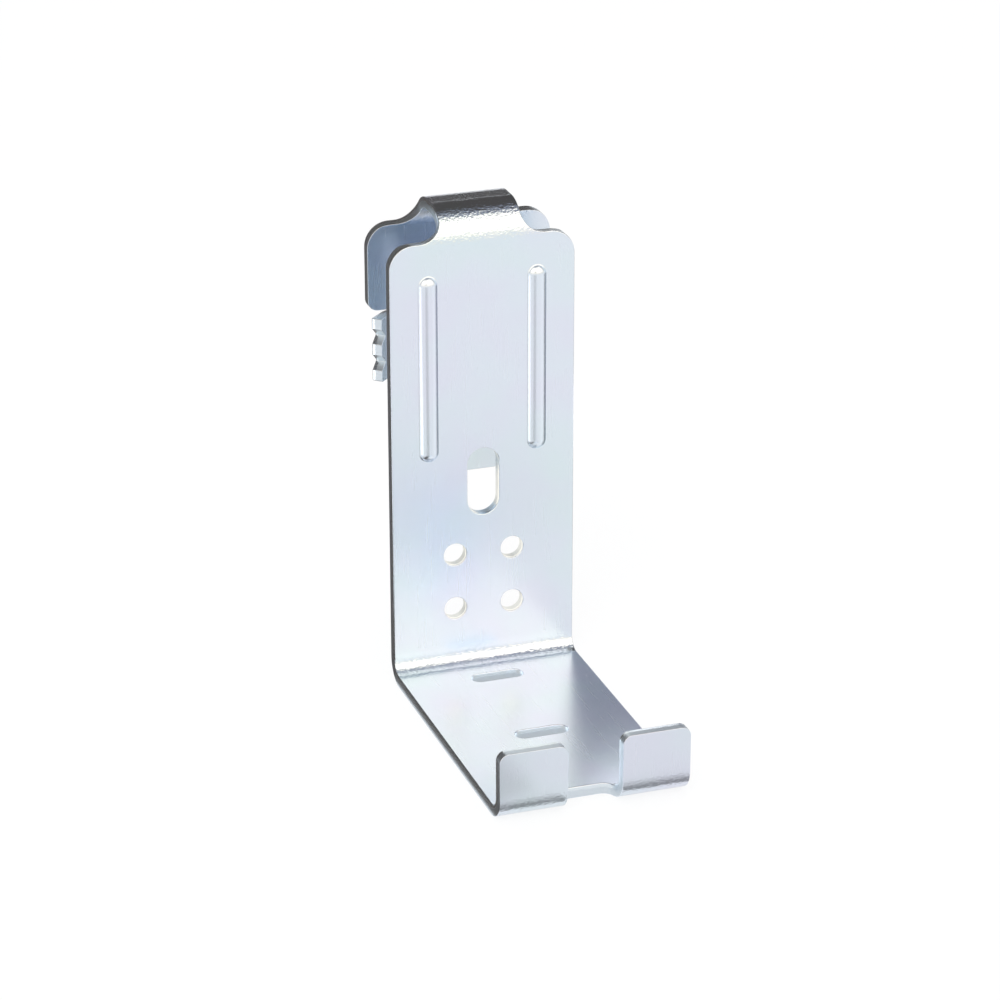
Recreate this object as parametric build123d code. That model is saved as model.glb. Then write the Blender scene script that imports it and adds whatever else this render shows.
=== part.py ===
from build123d import *

import math
import os

# Cable support bracket, folded from one strip of zinc-plated steel sheet.
#
# Frame, in millimetres: +Z is up, -Y is the side that the shelf reaches towards, and +X is to the right
# seen from there. The origin lies on the underside of the shelf, below the middle of the bracket's box.
#
# While the bracket is drawn, Y is 0 on the front face of the panel and Z is 0 on the top face of the
# shelf. The finished bracket is then moved to its own origin.

# The strip
strip_width = 44.45
thickness = 2.66
bend_inner = 3.2

# The panel, from the top face of the shelf up to the start of the hook's first bend. The shoulders run
# from the sides of the strip to the neck.
panel_height = 104.2
shoulder_rise = 0.85
shoulder_run = 12.475
shoulder_corner = 5.8

# The neck and the hook. The gap is the clear space between the panel and the rear leg, and the hook
# turns over it in two bends with a short flat between them.
hook_gap = 14.2
hook_bend_inner = 5.2
neck_fillet = 5.3

# The shelf and its lips. The reach is from the front face of the panel to the outer face of the lips.
shelf_reach = 76.4
lip_height = 14.2
lip_corner = 2.2
notch_width = 12.7
notch_depth = 7.0
notch_corner = 3.0

# The rear leg, measured down from the end of the hook's second bend
leg_length = 62.6
ear_drop = 19.9
ear_corner = 2.4
tongue_width = 25.4
tongue_corner = 4.0
tongue_bolt_bore = 7.1
tongue_bolt_drop = 55.2

# The toothed wings of the tongue, bent forward towards the panel
tooth_count = 3
tooth_pitch = 6.35
tooth_gap = 3.7
wing_relief = 1.0
wing_bend_place = 16.5
wing_bend_inner = 0.8
wing_length = 5.1
wing_angle = 45.0

# The two beads of the panel, pressed out towards the front
bead_spacing = 26.2
bead_drop = 6.7
bead_length = 45.6
bead_width = 5.0
bead_hollow_width = 4.0
bead_rise = 1.3
bead_blend = 0.5

# The oblong hole of the panel, which stands across from the bolt hole of the tongue
oblong_drop = 58.6
oblong_length = 16.6
oblong_width = 7.7

# The four round holes of the panel
hole_bore = 5.5
hole_spacing = 14.0
hole_pitch = 13.7
hole_height = 14.2

# The two slots of the shelf, with their distances from the front face of the panel
slot_length = 12.6
slot_width = 4.3
slot_places = (9.7, 41.0)

# Values that follow from those above
hook_bend_outer = hook_bend_inner + thickness
crown_height = panel_height + hook_bend_outer
leg_front = thickness + hook_gap
leg_back = leg_front + thickness
crown_middle = leg_back / 2
half_strip = strip_width / 2
half_neck = half_strip - shoulder_run
shoulder_height = panel_height + shoulder_rise
ear_bottom = panel_height - ear_drop
tongue_bottom = panel_height - leg_length
wing_top = ear_bottom - wing_relief
wing_height = tooth_count * tooth_pitch - tooth_gap
# How far the cutting shapes run past the faces that they cut
past = thickness


def folded_strip():
    """The strip at its full width, folded along its side view."""
    lip_back = thickness - shelf_reach
    corners = [
        (lip_back, lip_height),
        (lip_back, 0),
        (0, 0),
        (0, crown_height),
        (leg_back, crown_height),
        (leg_back, tongue_bottom),
    ]
    with BuildPart() as strip:
        with BuildSketch(Plane.YZ):
            with BuildLine():
                FilletPolyline(*corners, radius=[bend_inner, bend_inner, hook_bend_outer, hook_bend_outer])
                offset(amount=thickness, side=Side.RIGHT)
            make_face()
        extrude(amount=half_strip, both=True)
    return strip.part


def necked_outline(foot, half_foot, foot_corner, step=None):
    """The front view of the panel or of the rear leg, under the neck that joins them.

    The foot is the lower end, and the step is the height where the ears end above a narrower foot.
    """
    top = crown_height + past
    side = [(half_foot, foot)] if step is None else [(half_foot, foot), (half_foot, step), (half_strip, step)]
    corners = [
        (half_strip, shoulder_height, shoulder_corner),
        (half_neck, shoulder_height, neck_fillet),
    ]
    if step is not None:
        corners += [(half_foot, foot, foot_corner), (half_strip, step, ear_corner)]
    points = [(0, foot), *side, (half_strip, shoulder_height)]
    points += [(half_neck, shoulder_height), (half_neck, top), (0, top)]
    half = make_face(Polyline(*points, close=True))
    for x, z, radius in corners:
        half = fillet(half.vertices().sort_by_distance((x, z))[0], radius)
    return half + mirror(half, about=Plane.YZ)


def cut_to_outline(strip):
    """The strip with its shoulders, its neck, its ears and its tongue."""
    middle = Plane.XZ.offset(-crown_middle)
    front = necked_outline(-thickness - past, half_strip, 0)
    rear = necked_outline(tongue_bottom, tongue_width / 2, tongue_corner, ear_bottom)
    front_room = extrude(middle * front, crown_middle + shelf_reach + past)
    rear_room = extrude(middle * rear, -(crown_middle + past))
    return strip & (front_room + rear_room)


def toothed_wing():
    """The right wing of the tongue, with square notches cut into its edge."""
    along = Vector(math.cos(math.radians(wing_angle)), -math.sin(math.radians(wing_angle)), 0)
    bend = Vector(wing_bend_place, leg_front, 0)
    crest = bend + along * wing_length
    with BuildPart() as wing:
        with BuildSketch(Plane.XY.offset(wing_top - wing_height)):
            with BuildLine():
                FilletPolyline((0, leg_front), (bend.X, bend.Y), (crest.X, crest.Y), radius=wing_bend_inner)
                offset(amount=thickness, side=Side.LEFT)
            make_face()
        extrude(amount=wing_height)
    edge = Plane(origin=crest, x_dir=along, z_dir=along.rotate(Axis.Z, 90))
    first = wing_top - tooth_pitch + tooth_gap / 2
    notch_side = tooth_gap / math.sqrt(2)
    notch = extrude(edge * Rectangle(notch_side, notch_side, rotation=45), thickness + past, both=True)
    notches = [Pos(0, 0, first - step * tooth_pitch) * notch for step in range(tooth_count - 1)]
    return wing.part - notches


def bead_form(width):
    """A bead that stands bead_rise out of a flat face, with its foot blended into that face.

    The section is a crest arc that meets a smaller hollow arc at each foot. The ends are half turns of it.
    """
    foot = width / 2
    crest_radius = (foot**2 + bead_rise**2) / (2 * bead_rise) - bead_blend
    crest_axis = bead_rise - crest_radius
    share = crest_radius / (crest_radius + bead_blend)
    meeting = (foot * share, crest_axis + (bead_blend - crest_axis) * share)
    crest = RadiusArc((0, bead_rise), meeting, crest_radius)
    blend = RadiusArc(meeting, (foot, 0), -bead_blend)
    base = Polyline((foot, 0), (foot, -thickness / 2), (0, -thickness / 2), (0, bead_rise))
    half = make_face([*crest.edges(), *blend.edges(), *base.edges()])
    # Seen from above, the section's height points to the front
    section = Plane(origin=(0, 0, 0), x_dir=(1, 0, 0), z_dir=(0, 0, -1))
    straight = bead_length - width
    body = extrude(section * (half + mirror(half, about=Plane.YZ)), straight / 2, both=True)
    end = revolve(section * half, Axis.Y, 360)
    return body + [Pos(0, 0, side * straight / 2) * end for side in (-1, 1)]


def press_beads(bracket):
    """The bracket with its two beads pressed out, each a ridge in front and a hollow behind."""
    height = panel_height - bead_drop - bead_length / 2
    ridge = bead_form(bead_width)
    hollow = Pos(0, thickness, 0) * bead_form(bead_hollow_width)
    places = [Pos(side * bead_spacing / 2, 0, height) for side in (-1, 1)]
    return bracket + [place * ridge for place in places] - [place * hollow for place in places]


def panel_holes():
    """The oblong hole, the four round holes and the bolt hole of the tongue, as cutting shapes."""
    oblong = Pos(0, panel_height - oblong_drop) * SlotOverall(oblong_length, oblong_width, rotation=90)
    rounds = Pos(0, hole_height + hole_pitch / 2) * GridLocations(hole_spacing, hole_pitch, 2, 2) * Circle(
        hole_bore / 2
    )
    bolt = Pos(0, panel_height - tongue_bolt_drop) * Circle(tongue_bolt_bore / 2)
    through_panel = extrude(Plane.XZ * (Sketch() + oblong + rounds), thickness + past, both=True)
    through_leg = extrude(Plane.XZ.offset(-leg_front) * bolt, thickness + past, both=True)
    return through_panel + through_leg


def shelf_cuts():
    """The two slots of the shelf and the notch between its lips, as cutting shapes."""
    slots = [Pos(0, -place) * SlotOverall(slot_length, slot_width) for place in slot_places]
    cuts = extrude(Sketch() + slots, thickness + past, both=True)
    notch = Rectangle(notch_width, notch_depth + past, align=(Align.CENTER, Align.MAX))
    notch = fillet(notch.vertices().group_by(Axis.Y)[-1], notch_corner)
    notch = Pos(0, notch_depth - shelf_reach) * notch
    return cuts + extrude(notch, lip_height + past, both=True)


def folded_bracket():
    """The whole bracket, in its own frame."""
    bracket = cut_to_outline(folded_strip())
    wing = toothed_wing()
    bracket = bracket + wing + mirror(wing, about=Plane.YZ)
    bracket = press_beads(bracket) - panel_holes() - shelf_cuts()
    lip_corners = bracket.edges().filter_by(Axis.Y).group_by(Axis.Y)[0]
    bracket = fillet(lip_corners, lip_corner)
    return Pos(0, (shelf_reach - leg_back) / 2, thickness) * bracket


os.makedirs("parts", exist_ok=True)
export_step(folded_bracket(), "parts/folded_bracket.step")
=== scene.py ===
"""Cable support bracket, folded from one strip of zinc-plated steel sheet, with the light it is shown in.

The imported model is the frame. The bracket is made again here as a flat blank with its cut edges rounded
over and its beads pressed, and the blank is then folded along the same side view as the frame's.
"""

import math
from types import SimpleNamespace

import bmesh
import bpy
from bpy.props import FloatProperty, FloatVectorProperty, IntProperty, PointerProperty, StringProperty
from mathutils import Matrix, Vector


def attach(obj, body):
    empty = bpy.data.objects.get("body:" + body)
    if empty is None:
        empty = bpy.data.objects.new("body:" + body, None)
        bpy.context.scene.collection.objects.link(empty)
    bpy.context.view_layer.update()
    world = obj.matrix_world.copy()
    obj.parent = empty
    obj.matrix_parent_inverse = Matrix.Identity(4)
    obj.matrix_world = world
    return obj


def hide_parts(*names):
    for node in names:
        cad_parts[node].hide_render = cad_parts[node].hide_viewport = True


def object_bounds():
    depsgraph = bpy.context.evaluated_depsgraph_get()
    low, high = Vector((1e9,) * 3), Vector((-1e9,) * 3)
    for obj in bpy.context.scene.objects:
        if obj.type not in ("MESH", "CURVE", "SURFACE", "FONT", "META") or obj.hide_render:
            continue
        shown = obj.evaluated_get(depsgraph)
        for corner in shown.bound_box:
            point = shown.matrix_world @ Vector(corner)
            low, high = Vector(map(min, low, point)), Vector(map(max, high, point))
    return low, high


bl_info = {
    "name": "Cable Support Bracket",
    "version": (1, 0, 0),
    "blender": (4, 5, 0),
    "location": "View3D > Sidebar > Bracket",
    "description": "Builds a folded zinc-plated bracket, its finish and its studio",
    "category": "Add Mesh",
}

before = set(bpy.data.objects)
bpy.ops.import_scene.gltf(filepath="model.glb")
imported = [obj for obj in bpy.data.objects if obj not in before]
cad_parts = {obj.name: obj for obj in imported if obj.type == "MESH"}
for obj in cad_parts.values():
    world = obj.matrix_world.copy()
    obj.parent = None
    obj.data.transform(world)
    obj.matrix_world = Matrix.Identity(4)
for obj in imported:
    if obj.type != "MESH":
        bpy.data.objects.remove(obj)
cad_low, cad_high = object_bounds()
cad_size = cad_high - cad_low

MILLIMETRE = 0.001
QUARTER = math.pi / 2
# The corners of a square, counter-clockwise
SQUARE = ((-1, -1), (1, -1), (1, 1), (-1, 1))
# Points of the blank that lie closer than this, in millimetres, are one point
SAME_POINT = 1e-4
# A point of the blank that lies closer than this to a scored line, in millimetres, is on it
ON_LINE = 1e-5
# The colour sockets of a Mix node, whose names it shares with its other kinds
MIX_A, MIX_B, MIXED = 6, 7, 2
# What Ray Depth says of a board and of the world that the bracket's first reflection shows
BOARD_DEPTH, WORLD_DEPTH = 1, 2
# The step between cards that lie on top of each other, in metres
LAYER = 0.0001


def length(label, description, millimetres):
    """A length that the user can change, with its default in millimetres."""
    return FloatProperty(
        name=label,
        description=description,
        default=millimetres * MILLIMETRE,
        unit="LENGTH",
        subtype="DISTANCE",
        precision=5,
    )


def angle(label, description, degrees):
    """An angle that the user can change, with its default in degrees."""
    return FloatProperty(
        name=label, description=description, default=math.radians(degrees), subtype="ANGLE", unit="ROTATION"
    )


def colour(label, description, hex_value):
    """A colour that the user can change, written as an sRGB hex value."""
    return StringProperty(name=label, description=description, default=hex_value)


class BracketSizes(bpy.types.PropertyGroup):
    """The sizes of the bracket."""

    strip_width: length("Strip width", "Width of the strip, from the frame", cad_size.x / MILLIMETRE)
    total_depth: length(
        "Total depth", "From the lips to the back of the rear leg, from the frame", cad_size.y / MILLIMETRE
    )
    total_height: length(
        "Total height",
        "From the underside of the shelf to the hook's crown, from the frame",
        cad_size.z / MILLIMETRE,
    )
    thickness: length("Thickness", "Thickness of the sheet", 2.66)
    bend_inner: length("Bend radius", "Inner radius of the bends at the shelf's two ends", 3.2)
    hook_bend_inner: length("Hook bend radius", "Inner radius of the hook's two bends", 5.2)
    hook_gap: length("Hook gap", "Clear space between the panel and the rear leg", 14.2)
    shoulder_rise: length("Shoulder rise", "Height of the shoulders above the hook's first bend line", 0.85)
    shoulder_corner: length("Shoulder corner", "Corner radius of the shoulders", 5.8)
    shoulder_run: length("Shoulder run", "From the side of the strip to the side of the neck", 12.475)
    neck_fillet: length("Neck fillet", "Radius where the neck meets the shoulders", 5.3)
    lip_height: length("Lip height", "Height of the lips above the top of the shelf", 14.2)
    lip_corner: length("Lip corner", "Corner radius of the lips", 2.2)
    notch_width: length("Notch width", "Width of the notch between the lips", 12.7)
    notch_depth: length("Notch depth", "Depth of the notch, from the outer face of the lips", 7.0)
    notch_corner: length("Notch corner", "Corner radius at the root of the notch", 3.0)
    leg_length: length("Rear leg", "Length of the rear leg, from the hook's second bend line", 62.6)
    ear_drop: length("Ears", "Length of the ears, from the hook's second bend line", 19.9)
    ear_corner: length("Ear corner", "Corner radius of the ears", 2.4)
    tongue_width: length("Tongue width", "Width of the tongue", 25.4)
    tongue_corner: length("Tongue corner", "Corner radius of the tongue", 4.0)
    tongue_bolt_bore: length("Bolt hole", "Diameter of the bolt hole in the tongue", 7.1)
    tongue_bolt_drop: length("Bolt hole drop", "From the hook's second bend line to the bolt hole", 55.2)
    wing_relief: length("Relief", "Gap between the ears and the wings", 1.0)
    relief_corner: length("Relief corner", "Corner radius at the root of the relief", 0.3)
    wing_bend_place: length("Wing bend", "From the middle to the bend line of a wing", 16.5)
    wing_bend_inner: length("Wing bend radius", "Inner radius of the wings' bends", 0.8)
    wing_length: length("Wing length", "From its bend line to the tips of a wing's teeth", 5.1)
    wing_angle: angle("Wing angle", "How far a wing is bent forward", 45)
    tooth_count: IntProperty(name="Teeth", description="Teeth of a wing", default=3, min=1)
    tooth_pitch: length("Tooth pitch", "Distance between the teeth", 6.35)
    tooth_gap: length("Tooth gap", "Width of a notch between two teeth", 3.7)
    tooth_corner: length("Tooth corner", "Corner radius of the teeth", 0.25)
    bead_spacing: length("Bead spacing", "Distance between the two beads", 26.2)
    bead_drop: length("Bead drop", "From the hook's first bend line to the top of a bead", 6.7)
    bead_length: length("Bead length", "Overall length of a bead", 45.6)
    bead_width: length("Bead width", "Width of a bead on the front", 5.0)
    bead_hollow_width: length("Bead hollow", "Width of the hollow behind a bead", 4.0)
    bead_rise: length("Bead rise", "How far a bead stands out", 1.3)
    bead_blend: length("Bead blend", "Radius at the foot of a bead", 0.5)
    oblong_drop: length("Oblong drop", "From the hook's first bend line to the oblong hole", 58.6)
    oblong_length: length("Oblong length", "Length of the oblong hole", 16.6)
    oblong_width: length("Oblong width", "Width of the oblong hole", 7.7)
    hole_bore: length("Hole bore", "Diameter of the round holes", 5.5)
    hole_spacing: length("Hole spacing", "Distance across between the round holes", 14.0)
    hole_pitch: length("Hole pitch", "Distance upward between the round holes", 13.7)
    hole_height: length("Hole height", "Height of the lower round holes above the shelf", 14.2)
    slot_length: length("Slot length", "Length of the shelf's slots", 12.6)
    slot_width: length("Slot width", "Width of the shelf's slots", 4.3)
    rear_slot: length("Rear slot", "From the panel's front face to the rear slot", 9.7)
    front_slot: length("Front slot", "From the panel's front face to the front slot", 41.0)
    front_roll: length("Front edge roll", "Radius of the edge that the punch entered", 0.24)
    rear_roll: length("Rear edge roll", "Radius of the edge that the punch left", 0.12)
    bend_fade: length("Bend fade", "How far the stretched grain of a bend reaches into the flats", 2.0)
    arc_step: angle("Arc step", "Largest turn between two points of an arc", 5)
    bend_step: angle("Bend step", "Largest turn between two lines of a bend", 3)


class BracketColours(bpy.types.PropertyGroup):
    """The colours of the bracket's finish."""

    zinc: colour("Zinc", "Clear-passivated zinc on the rolled faces", "#DBE3ED")
    zinc_teal: colour("Passivate, thin", "Where the passivate film is thinner", "#D9E5EB")
    zinc_lavender: colour("Passivate, thick", "Where the passivate film is thicker", "#DCE0ED")
    sheared_land: colour("Sheared land", "Zinc on the smooth part of a cut edge", "#DCE4EA")
    sheared_break: colour("Sheared break", "Zinc on the broken part of a cut edge", "#CED7DF")


class BracketStudio(bpy.types.PropertyGroup):
    """The studio: camera, light and floor."""

    camera_place: FloatVectorProperty(
        name="Camera place",
        description="Where the camera stands",
        default=(-0.24666, -0.70553, 0.36783),
        subtype="TRANSLATION",
        unit="LENGTH",
    )
    camera_azimuth: angle(
        "Camera azimuth", "The camera's turn about the vertical, from looking straight at the panel", -18.860
    )
    camera_elevation: angle("Camera elevation", "How far the camera looks down", 22.728)
    camera_roll: angle("Camera roll", "The camera's turn about its own line of sight", -0.091)
    camera_lens: FloatProperty(
        name="Camera lens",
        description="Focal length on a 36 mm sensor",
        default=129.65,
        subtype="DISTANCE_CAMERA",
    )
    floor_colour: colour("Floor", "The pale floor", "#FAFBFC")
    # At low strengths this white also paints the contact shadow in front of the lips, and the shade and
    # light under the shelf's slots
    card_colour: colour("Cards", "The white of the pale cards, each at its own strength", "#FFFFFF")
    softbox_colour: colour("Softbox", "The large light in front", "#FFF5E6")
    room_colour: colour("Room", "The dimmer room overhead and behind", "#9BA0AE")
    # This colour also paints the shadow on the floor under the gap behind the panel
    flag_colour: colour("Dark cards", "The dark cards that draw the edges", "#5A5654")
    gap_colour: colour("Gap light", "What light meets after it has gone to and fro in the gaps", "#D6F1EE")


def linear(hex_value):
    """The linear colour, with alpha, of an sRGB hex value."""
    channels = [int(hex_value[i : i + 2], 16) / 255 for i in (1, 3, 5)]
    return [c / 12.92 if c <= 0.04045 else ((c + 0.055) / 1.055) ** 2.4 for c in channels] + [1.0]


def cleared(owner):
    """The emptied node tree of a material or a world."""
    owner.use_nodes = True
    owner.node_tree.nodes.clear()
    return owner.node_tree


def add_node(tree, kind, inputs=None, **settings):
    """Adds a node with its settings.

    An input is given a value, or the output that it is linked from, or a node for its first output.
    """
    node = tree.nodes.new(kind)
    for name, value in settings.items():
        setattr(node, name, value)
    for key, value in (inputs or {}).items():
        if isinstance(value, bpy.types.Node):
            value = value.outputs[0]
        if isinstance(value, bpy.types.NodeSocket):
            tree.links.new(value, node.inputs[key])
        else:
            node.inputs[key].default_value = value
    return node


def blank_sizes(sizes):
    """The sizes in millimetres, at which the blank is drawn, with what follows from them."""
    lengths = [p.identifier for p in sizes.bl_rna.properties if getattr(p, "unit", "") == "LENGTH"]
    mm = SimpleNamespace(**{name: getattr(sizes, name) / MILLIMETRE for name in lengths})
    mm.half_strip = mm.strip_width / 2
    mm.hook_bend_outer = mm.hook_bend_inner + mm.thickness
    mm.panel_height = mm.total_height - mm.thickness - mm.hook_bend_outer
    mm.leg_back = mm.hook_gap + 2 * mm.thickness
    mm.shelf_reach = mm.total_depth - mm.leg_back
    mm.wing_bend_start = mm.wing_bend_place - mm.wing_bend_inner * math.tan(sizes.wing_angle / 2)
    mm.wing_bend_end = mm.wing_bend_start + mm.wing_bend_inner * sizes.wing_angle
    mm.wing_tip = mm.wing_bend_end + mm.wing_length - (mm.wing_bend_place - mm.wing_bend_start)
    # Where the flats and bends meet, measured along the blank from the tips of the lips
    bend = mm.bend_inner * QUARTER
    hook_bend = mm.hook_bend_outer * QUARTER
    mm.lip_bend = mm.lip_height - mm.bend_inner
    mm.shelf_start = mm.lip_bend + bend
    mm.shelf_end = mm.shelf_start + mm.shelf_reach - mm.thickness - 2 * mm.bend_inner
    mm.panel_start = mm.shelf_end + bend
    mm.panel_end = mm.panel_start + mm.panel_height - mm.bend_inner
    mm.crown_start = mm.panel_end + hook_bend
    mm.crown_end = mm.crown_start + mm.leg_back - 2 * mm.hook_bend_outer
    mm.leg_start = mm.crown_end + hook_bend
    mm.leg_end = mm.leg_start + mm.leg_length
    mm.ear_end = mm.leg_start + mm.ear_drop
    mm.wing_start = mm.ear_end + mm.wing_relief
    mm.shoulder = mm.hook_bend_outer * math.asin(mm.shoulder_rise / mm.hook_bend_outer)
    return mm


class FoldLine:
    """The side view of the strip, which carries each line across the blank to its place.

    It follows the face that is the top of the shelf and the front of the panel. Depth into the sheet is
    to the right of its heading.
    """

    def __init__(self, mm):
        small, large = mm.bend_inner * QUARTER, mm.hook_bend_outer * QUARTER
        runs = [
            (mm.lip_bend, 0),
            (small, QUARTER),
            (mm.shelf_end - mm.shelf_start, 0),
            (small, QUARTER),
            (mm.panel_end - mm.panel_start, 0),
            (large, -QUARTER),
            (mm.crown_end - mm.crown_start, 0),
            (large, -QUARTER),
            (mm.leg_length, 0),
        ]
        self.runs = []
        along, heading = 0, -QUARTER
        place = Vector((mm.thickness - mm.shelf_reach, mm.lip_height))
        for run_length, turn in runs:
            curve = turn / run_length
            self.runs.append((along, place, heading, curve))
            place = self.step(place, heading, curve, run_length)
            along, heading = along + run_length, heading + turn

    @staticmethod
    def step(place, heading, curve, distance):
        """The place at a distance along one run."""
        if curve == 0:
            return place + distance * Vector((math.cos(heading), math.sin(heading)))
        after = heading + curve * distance
        chord = Vector((math.sin(after) - math.sin(heading), math.cos(heading) - math.cos(after)))
        return place + chord / curve

    def at(self, along):
        """The place, heading and curve at a distance along the blank."""
        start, place, heading, curve = [run for run in self.runs if run[0] <= max(along, 0)][-1]
        distance = along - start
        return self.step(place, heading, curve, distance), heading + curve * distance, curve

    def fold(self, point, normal):
        """Where a point of the blank and its normal come to stand."""
        (across, along, depth), (normal_across, normal_along, normal_depth) = point, normal
        place, heading, curve = self.at(along)
        ahead = Vector((math.cos(heading), math.sin(heading)))
        into = Vector((ahead.y, -ahead.x))
        stretch = 1 + curve * depth
        place = place + into * depth
        turned = ahead * (normal_along / stretch) + into * normal_depth
        return Vector((across, *place)), Vector((normal_across, *turned)).normalized()


def fold_wing(mm, wing_angle, point, normal):
    """Where a point of the rear leg and its normal are once the wings are bent forward."""
    (across, along, depth), (normal_across, normal_along, normal_depth) = point, normal
    if along < (mm.ear_end + mm.wing_start) / 2 or abs(across) <= mm.wing_bend_start:
        return point, normal
    side = math.copysign(1, across)
    past = abs(across) - mm.wing_bend_start
    turn = min(past / mm.wing_bend_inner, wing_angle)
    rest = past - turn * mm.wing_bend_inner
    radius = mm.wing_bend_inner + mm.thickness - depth
    sine, cosine = math.sin(turn), math.cos(turn)
    width = mm.wing_bend_start + radius * sine + rest * cosine
    height = mm.thickness + mm.wing_bend_inner - radius * cosine + rest * sine
    outward = side * normal_across
    turned = (
        side * (outward * cosine - normal_depth * sine),
        normal_along,
        outward * sine + normal_depth * cosine,
    )
    return Vector((side * width, along, height)), Vector(turned)


def rounded(corners, arc_step):
    """The points of a closed outline, each of whose corners (across, along, radius) is turned in an arc."""
    points = []
    for i, (x, y, radius) in enumerate(corners):
        here = Vector((x, y))
        before, after = Vector(corners[i - 1][:2]), Vector(corners[(i + 1) % len(corners)][:2])
        ahead, onward = (here - before).normalized(), (after - here).normalized()
        turn = math.atan2(ahead.x * onward.y - ahead.y * onward.x, ahead.dot(onward))
        start = here - ahead * radius * math.tan(abs(turn) / 2)
        centre = start + Vector((-ahead.y, ahead.x)) * math.copysign(radius, turn)
        steps = max(1, math.ceil(abs(turn) / arc_step))
        for step in range(steps + 1):
            point = centre + Matrix.Rotation(turn * step / steps, 2) @ (start - centre)
            if not points or (point - points[-1]).length > SAME_POINT:
                points.append(point)
    return points if (points[0] - points[-1]).length > SAME_POINT else points[:-1]


def box_corners(centre, width, height, radius):
    """The four corners of an upright box on the blank, counter-clockwise."""
    x, y = centre
    return [(x + i * width / 2, y + j * height / 2, radius) for i, j in SQUARE]


def outline_corners(mm, teeth):
    """The corners of the blank's outline, counter-clockwise from the notch between the lips."""
    notch_root = mm.shelf_start + mm.notch_depth - mm.thickness - mm.bend_inner
    half_notch, half_tongue = mm.notch_width / 2, mm.tongue_width / 2
    half_neck = mm.half_strip - mm.shoulder_run
    front_shoulder = mm.panel_end + mm.shoulder
    rear_shoulder = mm.leg_start - mm.shoulder
    wing_end = mm.wing_start + teeth * mm.tooth_pitch - mm.tooth_gap
    right = [
        (half_notch, notch_root, mm.notch_corner),
        (half_notch, 0, mm.lip_corner),
        (mm.half_strip, 0, mm.lip_corner),
        (mm.half_strip, front_shoulder, mm.shoulder_corner),
        (half_neck, front_shoulder, mm.neck_fillet),
        (half_neck, rear_shoulder, mm.neck_fillet),
        (mm.half_strip, rear_shoulder, mm.shoulder_corner),
        (mm.half_strip, mm.ear_end, mm.ear_corner),
        (half_tongue, mm.ear_end, mm.relief_corner),
        (half_tongue, mm.wing_start, mm.relief_corner),
        (mm.wing_tip, mm.wing_start, mm.tooth_corner),
    ]
    for tooth in range(1, teeth):
        low = mm.wing_start + tooth * mm.tooth_pitch
        right += [
            (mm.wing_tip, low - mm.tooth_gap, mm.tooth_corner),
            (mm.wing_tip - mm.tooth_gap / 2, low - mm.tooth_gap / 2, mm.tooth_corner),
            (mm.wing_tip, low, mm.tooth_corner),
        ]
    right += [
        (mm.wing_tip, wing_end, mm.tooth_corner),
        (half_tongue, wing_end, mm.relief_corner),
        (half_tongue, mm.leg_end, mm.tongue_corner),
    ]
    return right + [(-x, y, radius) for x, y, radius in reversed(right)]


def hole_corners(mm):
    """The corners of each hole that goes through the blank, counter-clockwise."""
    panel_middle = mm.panel_end - mm.oblong_drop
    bolt = mm.leg_start + mm.tongue_bolt_drop
    holes = [
        box_corners((0, panel_middle), mm.oblong_width, mm.oblong_length, mm.oblong_width / 2),
        box_corners((0, bolt), mm.tongue_bolt_bore, mm.tongue_bolt_bore, mm.tongue_bolt_bore / 2),
    ]
    low = mm.panel_start + mm.hole_height - mm.bend_inner
    for x in (-mm.hole_spacing / 2, mm.hole_spacing / 2):
        for y in (low, low + mm.hole_pitch):
            holes.append(box_corners((x, y), mm.hole_bore, mm.hole_bore, mm.hole_bore / 2))
    for place in (mm.rear_slot, mm.front_slot):
        middle = mm.shelf_end + mm.bend_inner - place
        holes.append(box_corners((0, middle), mm.slot_length, mm.slot_width, mm.slot_width / 2))
    return holes


def edge_profile(mm, steps=4):
    """The cut edge from front to rear, as (inset, depth, tilt), where a tilt of 0 faces outward."""
    turns = [QUARTER * step / steps for step in range(steps + 1)]
    front, rear = mm.front_roll, mm.rear_roll
    rows = [(front * (1 - math.sin(turn)), front * (1 - math.cos(turn)), turn - QUARTER) for turn in turns]
    for turn in turns:
        rows.append((rear * (1 - math.cos(turn)), mm.thickness - rear * (1 - math.sin(turn)), turn))
    return rows


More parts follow.
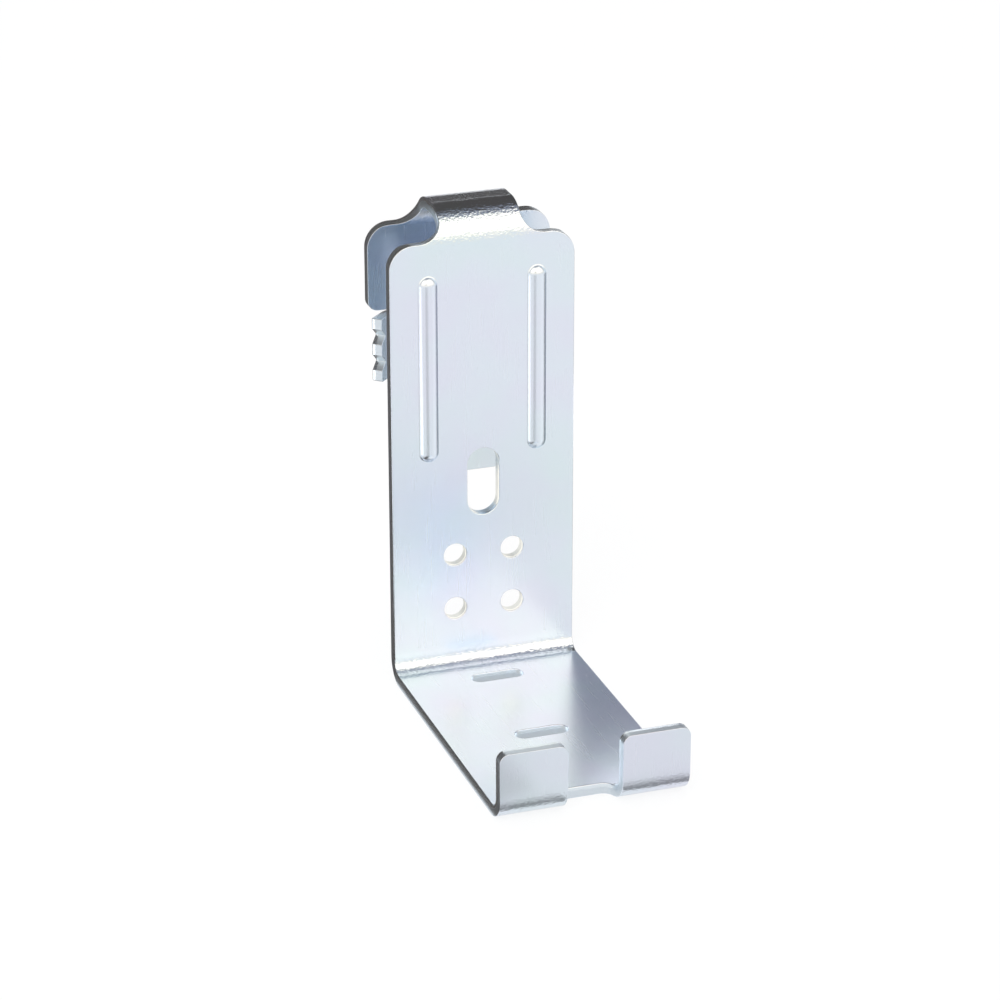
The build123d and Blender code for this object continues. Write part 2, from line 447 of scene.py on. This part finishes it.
class Blank:
    """The flat blank as a mesh in millimetres: across, along and depth, with the normal of each vertex."""

    # The material slots of the two finishes
    rolled, cut = 0, 1

    def __init__(self, mm):
        self.mm = mm
        self.mesh = bmesh.new()
        self.normal = self.mesh.verts.layers.float_vector.new("blank_normal")
        self.uv = self.mesh.loops.layers.uv.new("blank")
        self.front_edges = []
        self.rear_edges = []

    def vertex(self, place, normal):
        """Adds a vertex with its normal."""
        vertex = self.mesh.verts.new(place)
        vertex[self.normal] = normal
        return vertex

    def face(self, corners, finish, unwrapped=None):
        """Adds a face, whose texture places are its places on the blank unless others are given."""
        face = self.mesh.faces.new(corners)
        face.material_index = finish
        face.smooth = True
        for i, loop in enumerate(face.loops):
            loop[self.uv].uv = unwrapped[i] if unwrapped else loop.vert.co.xy
        return face

    def rings(self, rows, finishes, travelled=None):
        """Joins closed rings of vertices with faces, and returns the edges of the first and last ring."""
        count = len(rows[0])
        for row, (upper, lower) in enumerate(zip(rows, rows[1:])):
            for i in range(count):
                j = (i + 1) % count
                corners = [upper[i], upper[j], lower[j], lower[i]]
                unwrapped = None
                if finishes[row] == self.cut:
                    here, there = travelled[i], travelled[i + 1]
                    unwrapped = [(x, v.co.z) for x, v in zip((here, there, there, here), corners)]
                self.face(corners, finishes[row], unwrapped)
        return [
            [self.mesh.edges.get((ring[i], ring[(i + 1) % count])) for i in range(count)]
            for ring in (rows[0], rows[-1])
        ]

    def cut_edge(self, points):
        """The cut edge along one outline, which has the sheet on its left."""
        count = len(points)
        spans = [points[(i + 1) % count] - points[i] for i in range(count)]
        normals = []
        for i in range(count):
            summed = spans[i - 1] + spans[i]
            normals.append(Vector((summed.y, -summed.x)).normalized())
        travelled = [0]
        for span in spans:
            travelled.append(travelled[-1] + span.length)
        profile = edge_profile(self.mm)
        rows = []
        for inset, depth, tilt in profile:
            row = []
            for point, outward in zip(points, normals):
                place = point - outward * inset
                normal = Vector((*(outward * math.cos(tilt)), math.sin(tilt)))
                row.append(self.vertex((*place, depth), normal))
            rows.append(row)
        middle = len(profile) // 2 - 1
        finishes = [self.cut if row == middle else self.rolled for row in range(len(profile) - 1)]
        front, rear = self.rings(rows, finishes, travelled)
        self.front_edges += front
        self.rear_edges += rear

    def bead(self, centre, width, face_depth, facing, steps=12, arc_steps=20):
        """One face of a pressed bead, whose rise depends on how far a point is from its middle line."""
        mm = self.mm
        foot = width / 2
        crest = (foot**2 + mm.bead_rise**2) / (2 * mm.bead_rise) - mm.bead_blend
        meeting = foot * crest / (crest + mm.bead_blend)
        half_straight = (mm.bead_length - width) / 2
        reaches = [meeting * (step + 1) / steps for step in range(steps)]
        reaches += [meeting + (foot - meeting) * (step + 1) / (steps // 2) for step in range(steps // 2)]
        rows = []
        for reach in reversed(reaches):
            if reach > meeting:
                level = mm.bead_blend - math.sqrt(mm.bead_blend**2 - (foot - reach) ** 2)
                lean = (foot - reach) / mm.bead_blend
            else:
                level = mm.bead_rise - crest + math.sqrt(crest**2 - reach**2)
                lean = reach / crest
            row = []
            for end in (1, -1):
                for step in range(arc_steps + 1):
                    turn = math.pi * step / arc_steps + (0 if end == 1 else math.pi)
                    out = Vector((math.cos(turn), math.sin(turn)))
                    place = Vector(centre) + Vector((0, end * half_straight)) + out * reach
                    normal = Vector((*(out * lean * -facing), facing * math.sqrt(1 - lean**2)))
                    row.append(self.vertex((*place, face_depth - level), normal))
            rows.append(row)
        finishes = [self.rolled] * (len(rows) - 1)
        foot_edges, _ = self.rings(rows, finishes)
        crest_row = rows[-1]
        half = len(crest_row) // 2
        tops = []
        for end in (1, -1):
            place = (centre[0], centre[1] + end * half_straight, face_depth - mm.bead_rise)
            tops.append(self.vertex(place, (0, 0, facing)))
        for side, top in enumerate(tops):
            arc = crest_row[side * half : (side + 1) * half]
            for one, two in zip(arc, arc[1:]):
                self.face([one, two, top], self.rolled)
        self.face([crest_row[half - 1], crest_row[half], tops[1], tops[0]], self.rolled)
        self.face([crest_row[-1], crest_row[0], tops[0], tops[1]], self.rolled)
        (self.front_edges if facing < 0 else self.rear_edges).extend(foot_edges)

    def fill(self):
        """Fills the front and rear faces between their outlines."""
        for edges, facing in ((self.front_edges, -1), (self.rear_edges, 1)):
            normal = (0, 0, facing)
            made = bmesh.ops.triangle_fill(self.mesh, use_beauty=True, edges=edges, normal=normal)["geom"]
            for face in [item for item in made if isinstance(item, bmesh.types.BMFace)]:
                face.material_index = self.rolled
                face.smooth = True
                for loop in face.loops:
                    loop[self.uv].uv = loop.vert.co.xy

    def score(self, places, axis, faces):
        """Cuts faces along lines at places on the blank's first or second axis."""
        direction = Vector((1, 0, 0)) if axis == 0 else Vector((0, 1, 0))
        for place in places:
            chosen = faces()
            edges = {edge for face in chosen for edge in face.edges}
            verts = {vert for face in chosen for vert in face.verts}
            bmesh.ops.bisect_plane(
                self.mesh,
                geom=[*verts, *edges, *chosen],
                dist=ON_LINE,
                plane_co=direction * place,
                plane_no=direction,
            )


def bend_lines(mm, bend_step):
    """Where the blank is scored across, so that it folds smoothly and its grain fades beside each bend."""
    steps = math.ceil(QUARTER / bend_step)
    bends = [
        (mm.lip_bend, mm.shelf_start),
        (mm.shelf_end, mm.panel_start),
        (mm.panel_end, mm.crown_start),
        (mm.crown_end, mm.leg_start),
    ]
    lines = []
    for start, end in bends:
        lines += [start + (end - start) * step / steps for step in range(steps + 1)]
        lines += [start - mm.bend_fade, end + mm.bend_fade]
    return lines


def folded_mesh(sizes):
    """The bracket's mesh, in metres and in the frame's place."""
    mm = blank_sizes(sizes)
    blank = Blank(mm)
    blank.cut_edge(rounded(outline_corners(mm, sizes.tooth_count), sizes.arc_step))
    for corners in hole_corners(mm):
        blank.cut_edge(rounded(corners, sizes.arc_step)[::-1])
    bead_middle = mm.panel_end - mm.bead_drop - mm.bead_length / 2
    for side in (-1, 1):
        centre = (side * mm.bead_spacing / 2, bead_middle)
        blank.bead(centre, mm.bead_width, 0, -1)
        blank.bead(centre, mm.bead_hollow_width, mm.thickness, 1)
    blank.fill()
    blank.score(bend_lines(mm, sizes.bend_step), 1, lambda: blank.mesh.faces[:])
    wing_steps = 8
    wing_span = mm.wing_bend_end - mm.wing_bend_start
    wing_lines = [mm.wing_bend_start + wing_span * step / wing_steps for step in range(wing_steps + 1)]
    wing_lines = [side * line for side in (-1, 1) for line in wing_lines]
    blank.score(
        wing_lines,
        0,
        lambda: [face for face in blank.mesh.faces if max(v.co.y for v in face.verts) > mm.wing_start],
    )

    fold_line = FoldLine(mm)
    origin = Vector((0, (mm.shelf_reach - mm.leg_back) / 2, mm.thickness))
    normals = []
    strains = []
    for vertex in blank.mesh.verts:
        normal = vertex[blank.normal].normalized()
        curve = fold_line.at(vertex.co.y)[2]
        place, normal = fold_wing(mm, sizes.wing_angle, vertex.co, normal)
        place, normal = fold_line.fold(place, normal)
        vertex.co = (place + origin) * MILLIMETRE
        normals.append(normal)
        strains.append(1.0 if curve else 0.0)
    for face in blank.mesh.faces:
        facing = sum((normals[v.index] for v in face.verts), Vector())
        face.normal_update()
        if face.normal.dot(facing) < 0:
            face.normal_flip()
    mesh = bpy.data.meshes.new("folded_sheet")
    blank.mesh.to_mesh(mesh)
    blank.mesh.free()
    mesh.normals_split_custom_set_from_vertices(normals)
    strain = mesh.attributes.new("bend_strain", "FLOAT", "POINT")
    strain.data.foreach_set("value", strains)
    return mesh


def grain_height(tree, place, grains, level=0.0):
    """Adds noise heights to a level. Each is (width of a grain, height, detail), with lengths in metres."""
    for width, height, detail in grains:
        noise = add_node(
            tree,
            "ShaderNodeTexNoise",
            {"Vector": place, "Scale": 1 / width, "Detail": detail, "Roughness": 0.55},
        )
        level = add_node(tree, "ShaderNodeMath", {0: noise, 1: height, 2: level}, operation="MULTIPLY_ADD")
    return level


def rolled_zinc(colours):
    """Cold-rolled steel sheet, zinc-electroplated and clear-blue passivated.

    It is bright and mirror-like but faintly blurred by the grain of the rolled sheet, and bluish from the
    passivate, whose thickness drifts. The bends are smoother, with crystals that stand out and sparkle.
    """
    material = bpy.data.materials.new("zinc_plated_cold_rolled_steel")
    tree = cleared(material)
    place = add_node(tree, "ShaderNodeTexCoord").outputs["Object"]
    blank = add_node(tree, "ShaderNodeUVMap", uv_map="blank")

    # The passivate drifts in clouds, whose width is in metres
    cloud_width = 0.018
    clouds = add_node(
        tree,
        "ShaderNodeTexNoise",
        {"Vector": place, "Scale": 1 / cloud_width, "Detail": 2.0, "Roughness": 0.5},
    )
    tint = add_node(tree, "ShaderNodeValToRGB", {"Fac": clouds})
    ramp = tint.color_ramp
    ramp.elements[0].position, ramp.elements[0].color = 0.3, linear(colours.zinc_teal)
    ramp.elements[1].position, ramp.elements[1].color = 0.7, linear(colours.zinc_lavender)
    ramp.elements.new(0.5).color = linear(colours.zinc)

    # Rolling lines along the strip blur the sheet unevenly. The blank's own places are in millimetres.
    line_spacing, line_length = 0.5, 25.0
    smooth, dull, bend_polish = 0.26, 0.276, 0.14
    stretched = (1.0, line_spacing / line_length, 1.0)
    lines = add_node(tree, "ShaderNodeMapping", {"Vector": blank, "Scale": stretched})
    rolled = add_node(
        tree,
        "ShaderNodeTexNoise",
        {"Vector": lines, "Scale": 1 / line_spacing, "Detail": 3.0, "Roughness": 0.6},
    )
    strain = add_node(tree, "ShaderNodeAttribute", attribute_name="bend_strain").outputs["Fac"]
    blur = add_node(
        tree,
        "ShaderNodeMapRange",
        {"Value": rolled, "From Min": 0.3, "From Max": 0.7, "To Min": smooth, "To Max": dull},
    )
    polished = add_node(
        tree, "ShaderNodeMath", {0: strain, 1: -bend_polish, 2: blur}, operation="MULTIPLY_ADD"
    )

    # The sheet is faintly uneven at 0.4 to 2 mm. The crystals that the bends open are 0.2 mm wide in fact,
    # and are drawn at 0.6 mm so that they show. They rise and fall about the surface.
    even = grain_height(tree, place, [(0.002, 6e-6, 1.0), (0.0004, 6e-7, 1.0)])
    crystal_width, crystal_height = 0.0006, 1.5e-4
    crystals = grain_height(tree, place, [(crystal_width, crystal_height, 2.0)], -crystal_height / 2)
    height = add_node(tree, "ShaderNodeMath", {0: crystals, 1: strain, 2: even}, operation="MULTIPLY_ADD")
    bump = add_node(tree, "ShaderNodeBump", {"Height": height, "Distance": 1.0, "Strength": 1.0})
    shader = add_node(
        tree,
        "ShaderNodeBsdfPrincipled",
        {"Base Color": tint, "Metallic": 1.0, "Roughness": polished, "Normal": bump},
    )
    add_node(tree, "ShaderNodeOutputMaterial", {"Surface": shader})
    return material


def sheared_zinc(colours, sizes):
    """The blanked edge of the same sheet, plated after it was cut.

    The punch leaves a smooth land on the side that it enters and a duller, torn break beyond it, both lined
    across the thickness, so that the edge is darker than the faces.
    """
    material = bpy.data.materials.new("zinc_plated_sheared_edge")
    tree = cleared(material)
    # The places on the edge, its depth with them, are in millimetres
    edge = add_node(tree, "ShaderNodeUVMap", uv_map="blank")
    depth = add_node(tree, "ShaderNodeSeparateXYZ", {"Vector": edge}).outputs["Y"]
    # The land is about a third of the thickness, and its ragged limit wanders up and down
    wander_width, wander, softness = 1.5, 0.9, 0.15
    ragged = add_node(
        tree,
        "ShaderNodeTexNoise",
        {"Vector": edge, "Scale": 1 / wander_width, "Detail": 3.0, "Roughness": 0.6},
    )
    wandering = add_node(
        tree, "ShaderNodeMath", {0: ragged, 1: wander, 2: depth}, operation="MULTIPLY_ADD"
    )
    limit = sizes.thickness / MILLIMETRE / 3 + wander / 2
    broken = add_node(
        tree,
        "ShaderNodeMapRange",
        {"Value": wandering, "From Min": limit - softness, "From Max": limit + softness},
    )
    tint = add_node(
        tree,
        "ShaderNodeMix",
        {"Factor": broken, MIX_A: linear(colours.sheared_land), MIX_B: linear(colours.sheared_break)},
        data_type="RGBA",
    ).outputs[MIXED]
    smooth, dull = 0.24, 0.42
    blur = add_node(tree, "ShaderNodeMapRange", {"Value": broken, "To Min": smooth, "To Max": dull})
    # Lines across the thickness, and in the break a torn grain of the same width. Its height is in metres.
    line_width, line_length, line_height = 0.3, 3.75, 3e-5
    stretched = (1.0, line_width / line_length, 1.0)
    across = add_node(tree, "ShaderNodeMapping", {"Vector": edge, "Scale": stretched})
    lines, torn = (
        add_node(tree, "ShaderNodeTexNoise", {"Vector": places, "Scale": 1 / line_width, "Detail": 2.0})
        for places in (across, edge)
    )
    height = add_node(tree, "ShaderNodeMath", {0: torn, 1: broken, 2: lines}, operation="MULTIPLY_ADD")
    bump = add_node(tree, "ShaderNodeBump", {"Height": height, "Distance": line_height, "Strength": 1.0})
    shader = add_node(
        tree,
        "ShaderNodeBsdfPrincipled",
        {"Base Color": tint, "Metallic": 1.0, "Roughness": blur, "Normal": bump},
    )
    add_node(tree, "ShaderNodeOutputMaterial", {"Surface": shader})
    return material


class MakeBracket(bpy.types.Operator):
    """Make the folded bracket with its finish"""

    bl_idname = "bracket.make_bracket"
    bl_label = "Make bracket"

    def execute(self, context):
        scene = context.scene
        sheet = bpy.data.objects.new("folded_sheet", folded_mesh(scene.bracket_sizes))
        scene.collection.objects.link(sheet)
        sheet.data.materials.append(rolled_zinc(scene.bracket_colours))
        sheet.data.materials.append(sheared_zinc(scene.bracket_colours, scene.bracket_sizes))
        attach(sheet, "root")
        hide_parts("folded_bracket")
        return {"FINISHED"}


def seen_or_reflected(tree):
    """1 for what is seen straight, in a reflection or through glass, and 0 for the light on a surface."""
    path = add_node(tree, "ShaderNodeLightPath").outputs
    seen = path["Is Camera Ray"]
    for ray in ("Is Glossy Ray", "Is Transmission Ray"):
        seen = add_node(tree, "ShaderNodeMath", {0: seen, 1: path[ray]}, operation="MAXIMUM")
    return seen


def deeper(tree, first_depth):
    """1 for a ray that the bracket has turned at least twice, as in its gaps, and 0 before that."""
    depth = add_node(tree, "ShaderNodeLightPath").outputs["Ray Depth"]
    return add_node(tree, "ShaderNodeMath", {0: depth, 1: first_depth + 0.5}, operation="GREATER_THAN")


def make_world(studio):
    """A room with a large softbox in front, white at the horizon and dimmer overhead and behind.

    Light that has gone to and fro in the bracket's gaps meets a brighter room. It stands in for the pale
    walls and cards that a real studio has on every side.
    """
    world = bpy.data.worlds.new("studio")
    tree = cleared(world)
    direction = add_node(tree, "ShaderNodeTexCoord").outputs["Generated"]
    parts = add_node(tree, "ShaderNodeSeparateXYZ", {"Vector": direction}).outputs
    # Each fade follows Y, which is -1 straight in front, or Z, which is 1 overhead. It goes from one place
    # to another and from one value to another.
    fades = {
        # The softbox fills the front up to about 65 degrees, and brightens from the horizon to 20 degrees
        "front": ("Y", -0.3, -0.2, 1.0, 0.0),
        "below_softbox_top": ("Z", 0.88, 0.93, 1.0, 0.0),
        "softbox": ("Z", 0.0, 0.34, 1.0, 1.85),
        "horizon": ("Z", 0.1, 0.22, 1.0, 0.0),
        "above_horizon": ("Z", 0.1, 0.3, 0.0, 1.0),
        "below_ceiling": ("Z", 0.8, 0.9, 1.0, 0.0),
    }
    fade = {}
    for name, (part, start, end, before, after) in fades.items():
        fade[name] = add_node(
            tree,
            "ShaderNodeMapRange",
            {"Value": parts[part], "From Min": start, "From Max": end, "To Min": before, "To Max": after},
        )

    room = add_node(
        tree,
        "ShaderNodeMix",
        {"Factor": fade["horizon"], MIX_A: linear(studio.room_colour), MIX_B: (1.0, 1.0, 1.0, 1.0)},
        data_type="RGBA",
    ).outputs[MIXED]
    low_strength, high_strength = 1.6, 1.8
    low_gap = [low_strength * channel for channel in linear(studio.gap_colour)[:3]] + [1.0]
    high_gap = [high_strength] * 3 + [1.0]
    gap = add_node(
        tree,
        "ShaderNodeMix",
        {"Factor": fade["above_horizon"], MIX_A: low_gap, MIX_B: high_gap},
        data_type="RGBA",
    ).outputs[MIXED]
    # The ceiling is dark for the light in the gaps as well, which draws the line in the lower bend
    in_gap = add_node(
        tree,
        "ShaderNodeMath",
        {0: deeper(tree, WORLD_DEPTH), 1: fade["below_ceiling"]},
        operation="MULTIPLY",
    )
    around = add_node(
        tree, "ShaderNodeMix", {"Factor": in_gap, MIX_A: room, MIX_B: gap}, data_type="RGBA"
    ).outputs[MIXED]
    softbox = add_node(
        tree,
        "ShaderNodeVectorMath",
        {0: linear(studio.softbox_colour)[:3], "Scale": fade["softbox"]},
        operation="SCALE",
    )
    facing = add_node(
        tree, "ShaderNodeMath", {0: fade["front"], 1: fade["below_softbox_top"]}, operation="MULTIPLY"
    )
    shown = add_node(
        tree, "ShaderNodeMix", {"Factor": facing, MIX_A: around, MIX_B: softbox}, data_type="RGBA"
    ).outputs[MIXED]
    lit = add_node(tree, "ShaderNodeBackground", {"Color": (1.0, 1.0, 1.0, 1.0), "Strength": 1.0})
    seen = add_node(tree, "ShaderNodeBackground", {"Color": shown, "Strength": 1.0})
    mixed = add_node(tree, "ShaderNodeMixShader", {"Fac": seen_or_reflected(tree), 1: lit, 2: seen})
    add_node(tree, "ShaderNodeOutputWorld", {"Surface": mixed})
    world.cycles.sampling_method = "NONE"
    return world


def floor_finish(studio):
    """Matt white laminate. It shows white and keeps a fifth of its own shade, which holds the shadow."""
    material = bpy.data.materials.new("matt_white_laminate")
    tree = cleared(material)
    own = add_node(tree, "ShaderNodeBsdfDiffuse", {"Color": linear(studio.floor_colour)})
    # Light that has gone to and fro in the gaps finds the floor a little brighter
    white_share, brighter = 0.8, 0.15
    strength = add_node(
        tree, "ShaderNodeMath", {0: deeper(tree, BOARD_DEPTH), 1: brighter, 2: 1.0}, operation="MULTIPLY_ADD"
    )
    white = add_node(tree, "ShaderNodeEmission", {"Color": (1.0, 1.0, 1.0, 1.0), "Strength": strength})
    share = add_node(
        tree, "ShaderNodeMath", {0: seen_or_reflected(tree), 1: white_share}, operation="MULTIPLY"
    )
    mixed = add_node(tree, "ShaderNodeMixShader", {"Fac": share, 1: own, 2: white})
    add_node(tree, "ShaderNodeOutputMaterial", {"Surface": mixed})
    return material


def card_finish(name, hex_value, strength, later_strength=None):
    """Card that only reflections show.

    From the second reflection on it has its later strength, or is clear where it is given none.
    """
    material = bpy.data.materials.new(name)
    tree = cleared(material)
    tint = linear(hex_value)
    shown = add_node(tree, "ShaderNodeEmission", {"Color": tint, "Strength": strength})
    if later_strength != strength:
        if later_strength is None:
            later = add_node(tree, "ShaderNodeBsdfTransparent")
        else:
            later = add_node(tree, "ShaderNodeEmission", {"Color": tint, "Strength": later_strength})
        turned = deeper(tree, BOARD_DEPTH)
        shown = add_node(tree, "ShaderNodeMixShader", {"Fac": turned, 1: shown, 2: later})
    add_node(tree, "ShaderNodeOutputMaterial", {"Surface": shown})
    return material


def upright(left, right, y, low, high):
    """The corners of an upright card that faces the front."""
    return [(left, y, low), (right, y, low), (right, y, high), (left, y, high)]


def lying(left, right, near, far, layer=3):
    """The corners of a card that lies on the floor."""
    z = layer * LAYER
    return [(left, near, z), (right, near, z), (right, far, z), (left, far, z)]


def sector(near, far, start, end, y, layer=6):
    """The corners of a card on the floor that lies around the foot of the panel at y.

    It reaches from near to far, between two bearings in degrees to the right of straight ahead.
    """
    corners = [(near, start), (far, start), (far, end), (near, end)]
    turned = [(reach, math.radians(bearing)) for reach, bearing in corners]
    return [(reach * math.sin(turn), y - reach * math.cos(turn), layer * LAYER) for reach, turn in turned]


def board(scene, name, corners, material):
    """A flat board of the stage through its corners in metres."""
    mesh = bpy.data.meshes.new(name)
    mesh.from_pydata(corners, [], [tuple(range(len(corners)))])
    mesh.materials.append(material)
    made = bpy.data.objects.new(name, mesh)
    scene.collection.objects.link(made)
    return made


def add_card(scene, name, corners, material):
    """A card that only reflections show."""
    card = board(scene, f"card_{name}", corners, material)
    card.visible_camera = card.visible_diffuse = card.visible_shadow = card.visible_transmission = False


def add_cards(scene):
    """The cards around the bracket, which give its faces and edges something to reflect."""
    studio, sizes = scene.bracket_studio, scene.bracket_sizes
    black = card_finish("black_card", studio.flag_colour, 0.9)
    dark_grey = card_finish("dark_grey_card", studio.flag_colour, 1.2)
    # A dark card that paints the shadow on the floor under the gap behind the panel, for every reflection
    gap_painted_shadow = card_finish("gap_painted_shadow_card", studio.flag_colour, 1.4, 1.4)
    # A grey card, used only at the feet of the lips, that paints the contact shadow on the floor there
    grey = card_finish("grey_card", studio.card_colour, 0.34)
    pale = card_finish("pale_grey_card", studio.card_colour, 0.66)
    off_white = card_finish("off_white_card", studio.card_colour, 0.93)
    flank_white = card_finish("flank_card", studio.card_colour, 1.1, 0.4)
    # Under the shelf, whose shade falls on the floor there: painted shade, darker than the floor, for the
    # first reflection, and painted light, glowing, for later ones
    slot_shade_and_light = card_finish("slot_shade_and_light_card", studio.card_colour, 0.72, 2.2)
    glowing = card_finish("glowing_card", studio.card_colour, 2.2)
    bright = card_finish("bright_card", studio.softbox_colour, 1.45, 1.45)

    # The front of the panel, and just past the leg's back, the left side and the fronts of the lips
    panel = cad_high.y - sizes.hook_gap - 2 * sizes.thickness
    leg, left, lip = cad_high.y + 0.002, cad_low.x - 0.0004, cad_low.y + 0.0004
    # How far back and how high the large cards reach
    back, top = 0.2, 0.42
    # How far from the panel the cards around it begin and end
    near, far = 0.09, 0.4
    cards = {
        # Behind and over the hook, which they darken with the shoulders' edges
        "behind_left": (upright(-0.6, 0.03, back, 0.0, top), dark_grey),
        "behind_right": (upright(0.03, 0.5, back, 0.14, top), black),
        "over": ([(-0.6, back, top), (0.5, back, top), (0.5, 0.035, top), (-0.6, 0.035, top)], black),
        # Beside the bracket, for its left edges
        "left": (lying(-0.06, left, -0.06, back), dark_grey),
        "left_back": (lying(-far, -0.06, 0.03, back), dark_grey),
        # Under the gap behind the panel, where a dark card paints the floor's shadow, under the shelf's
        # slots and in front of the lips
        "gap": (lying(left, 0.06, panel + 0.003, leg), gap_painted_shadow),
        # The card under the slots is painted shade for the first reflection and painted light for later
        # ones, which brightens the slots' walls and the panel's foot
        "slots": (lying(-0.012, 0.012, -0.02, panel - 0.003), slot_shade_and_light),
        "before_lips": (lying(-0.03, 0.06, lip - 0.05, lip, 2), off_white),
        # Around the panel, for the flanks of its beads and for the teeth
        "left_front": (sector(near, far, -66, -46, panel), off_white),
        "teeth": (lying(-far, -0.12, -0.03, 0.022, 9), glowing),
        "before": (sector(near, far, -32, -6, panel), pale),
        "right_front": (sector(0.07, far, 48, 89, panel), flank_white),
        "right_back": (sector(0.07, 0.45, 86, 165, panel), black),
        # Behind the panel's holes, and beyond the right lip for the tops of the lips
        "holes": (upright(-0.022, 0.027, leg + 0.0005, 0.001, 0.044), bright),
        "lip_tops": (upright(0.03, 0.056, 0.036, 0.046, 0.064), glowing),
    }
    # At the foot of each lip, grey cards that paint the floor's contact shadow, the darker one on top, for
    # the shade in its lower bend
    for side, (start, end) in {"left": (left, -0.0055), "right": (0.0075, 0.025)}.items():
        cards[f"{side}_lip_fade"] = (lying(start, end, lip - 0.009, lip), pale)
        cards[f"{side}_lip"] = (lying(start, end, lip - 0.003, lip, 4), grey)
    for name, (corners, material) in cards.items():
        add_card(scene, name, corners, material)


def add_softbox(scene):
    """The lamp of the softbox, which lights the floor. The world shows it in the bracket."""
    lamp = bpy.data.lights.new("softbox", "AREA")
    lamp.shape, lamp.size, lamp.energy = "SQUARE", 0.7, 3.5
    softbox = bpy.data.objects.new("softbox", lamp)
    softbox.location = (-0.5, -0.75, 1.0)
    softbox.rotation_euler = (-softbox.location).to_track_quat("-Z", "Y").to_euler()
    softbox.visible_glossy = False
    scene.collection.objects.link(softbox)


def add_camera(scene):
    """The camera, and its own dark front as a card, which the corners of the lips throw back."""
    studio = scene.bracket_studio
    lens = bpy.data.cameras.new("camera")
    lens.lens = studio.camera_lens
    camera = bpy.data.objects.new("camera", lens)
    scene.collection.objects.link(camera)
    place = Vector(studio.camera_place)
    tilt = Matrix.Rotation(QUARTER - studio.camera_elevation, 3, "X")
    level = Matrix.Rotation(studio.camera_azimuth, 3, "Z") @ tilt
    axes = level @ Matrix.Rotation(studio.camera_roll, 3, "Z")
    camera.matrix_world = Matrix.LocRotScale(place, axes, None)
    scene.camera = camera
    front_reach = 0.09
    corners = [place + front_reach * (level @ Vector((i, j, 0))) for i, j in SQUARE]
    add_card(scene, "lens", corners, card_finish("lens_black", studio.flag_colour, 0.9, 0.9))


class MakeStudio(bpy.types.Operator):
    """Make the floor, the light and the camera"""

    bl_idname = "bracket.make_studio"
    bl_label = "Make studio"

    def execute(self, context):
        scene = context.scene
        floor_reach = 12.0
        floor = [(i * floor_reach, j * floor_reach, 0) for i, j in SQUARE]
        board(scene, "floor", floor, floor_finish(scene.bracket_studio))
        scene.world = make_world(scene.bracket_studio)
        add_cards(scene)
        add_softbox(scene)
        add_camera(scene)
        scene.view_settings.view_transform = "Standard"
        # Light goes to and fro many times in the gap between the panel and the rear leg
        scene.cycles.max_bounces = scene.cycles.glossy_bounces = 16
        return {"FINISHED"}


class BracketPanel(bpy.types.Panel):
    """The bracket's operators, sizes and colours."""

    bl_idname = "VIEW3D_PT_bracket"
    bl_label = "Cable support bracket"
    bl_space_type = "VIEW_3D"
    bl_region_type = "UI"
    bl_category = "Bracket"

    def draw(self, context):
        layout = self.layout
        layout.operator(MakeBracket.bl_idname)
        layout.operator(MakeStudio.bl_idname)
        scene = context.scene
        for group in (scene.bracket_sizes, scene.bracket_colours, scene.bracket_studio):
            box = layout.box()
            for name in group.__annotations__:
                box.prop(group, name)


classes = (BracketSizes, BracketColours, BracketStudio, MakeBracket, MakeStudio, BracketPanel)


def register():
    for cls in classes:
        bpy.utils.register_class(cls)
    bpy.types.Scene.bracket_sizes = PointerProperty(type=BracketSizes)
    bpy.types.Scene.bracket_colours = PointerProperty(type=BracketColours)
    bpy.types.Scene.bracket_studio = PointerProperty(type=BracketStudio)


def unregister():
    del bpy.types.Scene.bracket_sizes
    del bpy.types.Scene.bracket_colours
    del bpy.types.Scene.bracket_studio
    for cls in reversed(classes):
        bpy.utils.unregister_class(cls)


def main():
    register()
    bpy.ops.bracket.make_bracket()
    bpy.ops.bracket.make_studio()


if __name__ == "__main__":
    main()
